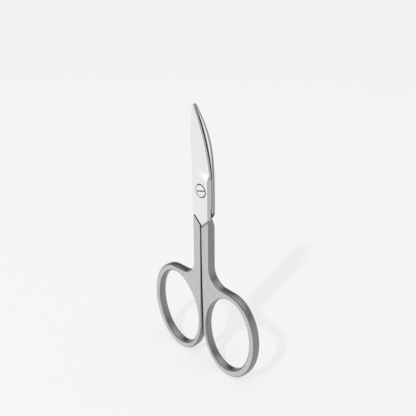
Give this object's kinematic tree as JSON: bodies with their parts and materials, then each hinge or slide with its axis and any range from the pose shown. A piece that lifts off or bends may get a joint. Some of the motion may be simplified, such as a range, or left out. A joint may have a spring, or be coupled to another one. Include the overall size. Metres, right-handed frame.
{
  "type": "nail scissors",
  "caption": "Steel nail scissors with blades curved to one side, oval finger rings and a slotted pivot screw, opening and closing about the screw.",
  "frame": {"origin": "on the surface under the finger rings, at the middle of the width and of the depth", "axes": "+Z along the length towards the blade tips, +X towards the right finger ring, -Y towards the side of the screw head, to which the blades curve"},
  "size_m": [0.0488, 0.0054, 0.0945],
  "materials": {
    "forged_steel": "satin handles, polished joint and blades",
    "screw_steel": "polished"
  },
  "bodies": {
    "back_side": {"back_half": "forged_steel", "pivot_screw": "screw_steel"},
    "front_side": {"front_half": "forged_steel"}
  },
  "joints": [
    {"name": "blade_pivot", "type": "hinge", "parent": "back_side", "child": "front_side", "pos_m": [0, 0.00121, 0.06529], "axis": [0, -1, 0], "range_deg": [0, 70]}
  ]
}
